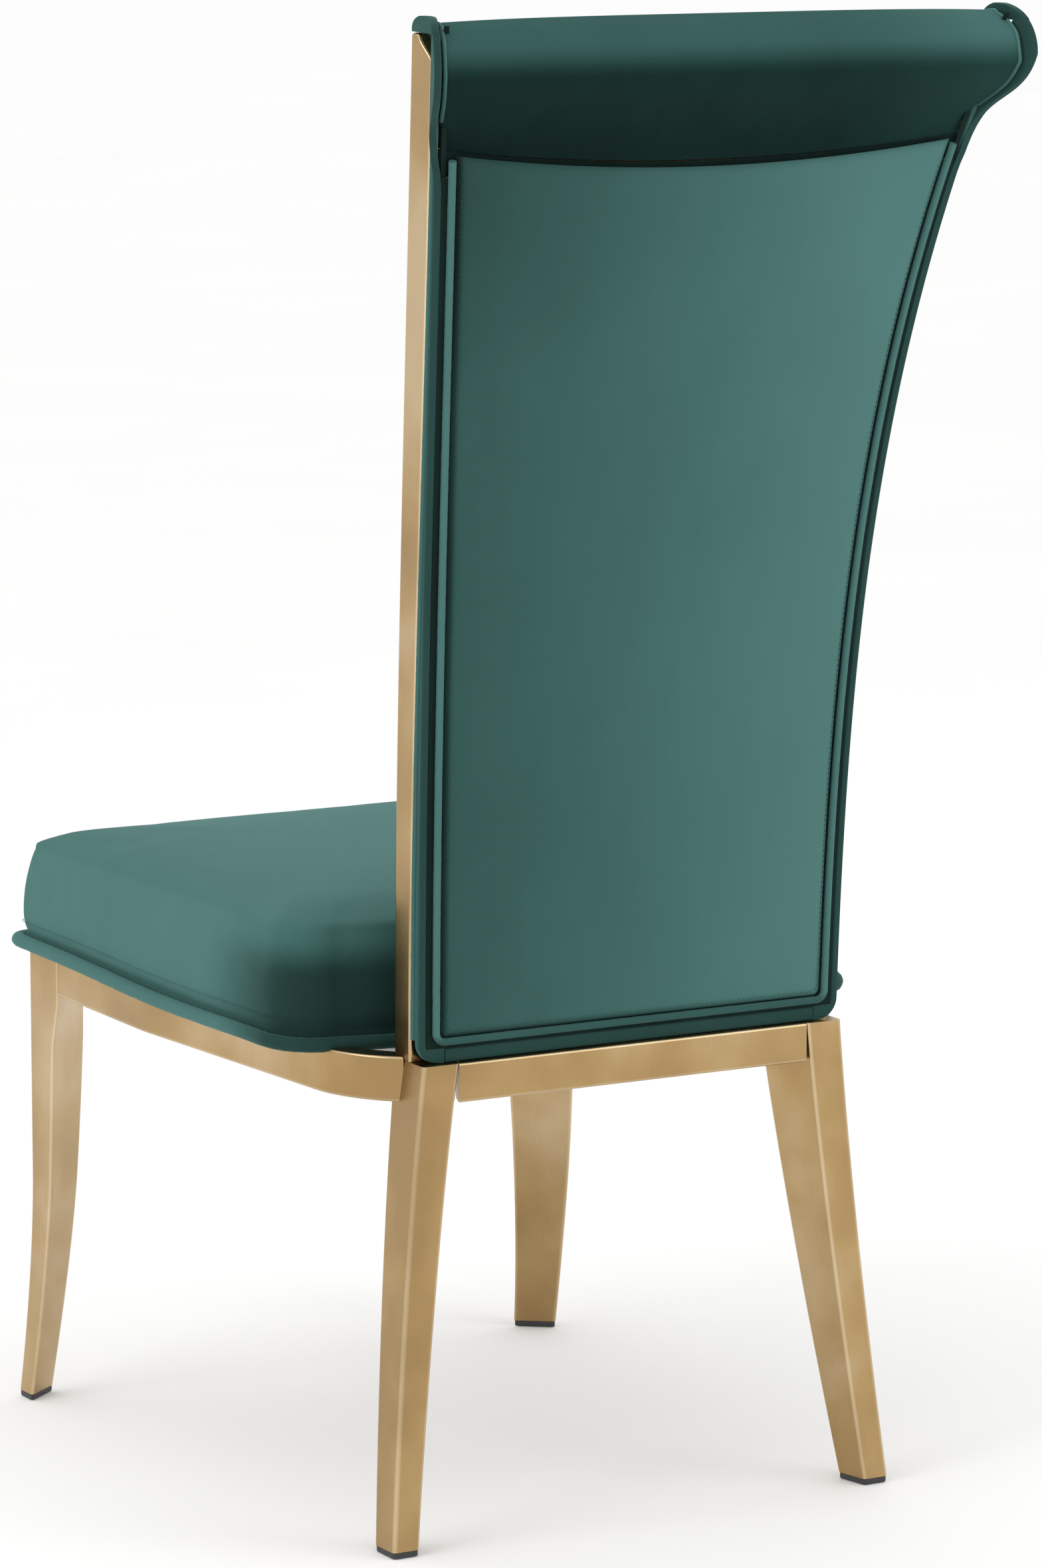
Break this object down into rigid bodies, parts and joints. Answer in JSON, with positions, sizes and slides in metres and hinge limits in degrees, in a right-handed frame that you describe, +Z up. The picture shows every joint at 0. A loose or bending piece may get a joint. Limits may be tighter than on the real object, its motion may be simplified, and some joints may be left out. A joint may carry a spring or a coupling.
{
  "type": "dining chair",
  "caption": "High-back dining chair: velvet seat and padded back that rolls rearward into a scroll, on a polished gold-tone frame with tapered legs.",
  "frame": {"origin": "centre of the chair's footprint box, on the floor", "axes": "+Z up; the sitter faces -Y; +X to the sitter's left"},
  "size_m": [0.5136, 0.7126, 1.1405],
  "materials": {
    "polished_gold": "mirror-polished champagne-gold plating on stainless steel",
    "green_velvet": "short-pile dark bottle-green velvet",
    "seat_foam": "cut polyurethane foam, hidden",
    "plywood": "unfinished plywood, hidden",
    "black_nylon": "moulded nylon",
    "black_lining": "thin non-woven lining",
    "zinc_steel": "zinc-plated steel, hidden"
  },
  "bodies": {
    "root": {"back_border_bottom": "green_velvet", "back_border_left": "green_velvet", "back_border_right": "green_velvet", "back_crossbar_lower": "zinc_steel", "back_crossbar_upper": "zinc_steel", "back_front_cushion": "green_velvet", "back_inner_board": "plywood", "back_post_left": "polished_gold", "back_post_right": "polished_gold", "back_rear_board": "plywood", "back_rear_cushion": "green_velvet", "back_scroll": "green_velvet", "border_piping_left": "green_velvet", "border_piping_right": "green_velvet", "corner_plate_front_left": "polished_gold", "corner_plate_front_right": "polished_gold", "corner_plate_rear_left": "polished_gold", "corner_plate_rear_right": "polished_gold", "dust_cover": "black_lining", "front_glide_left": "black_nylon", "front_glide_right": "black_nylon", "front_leg_left": "polished_gold", "front_leg_right": "polished_gold", "front_rail": "polished_gold", "rear_glide_left": "black_nylon", "rear_glide_right": "black_nylon", "rear_leg_left": "polished_gold", "rear_leg_right": "polished_gold", "rear_panel_piping": "green_velvet", "rear_rail": "polished_gold", "seat_board": "plywood", "seat_brace_front": "zinc_steel", "seat_brace_rear": "zinc_steel", "seat_cover": "green_velvet", "seat_foam": "seat_foam", "seat_piping": "green_velvet", "seat_screw_front_left": "zinc_steel", "seat_screw_front_right": "zinc_steel", "seat_screw_rear_left": "zinc_steel", "seat_screw_rear_right": "zinc_steel", "side_rail_left": "polished_gold", "side_rail_right": "polished_gold"}
  },
  "joints": []
}
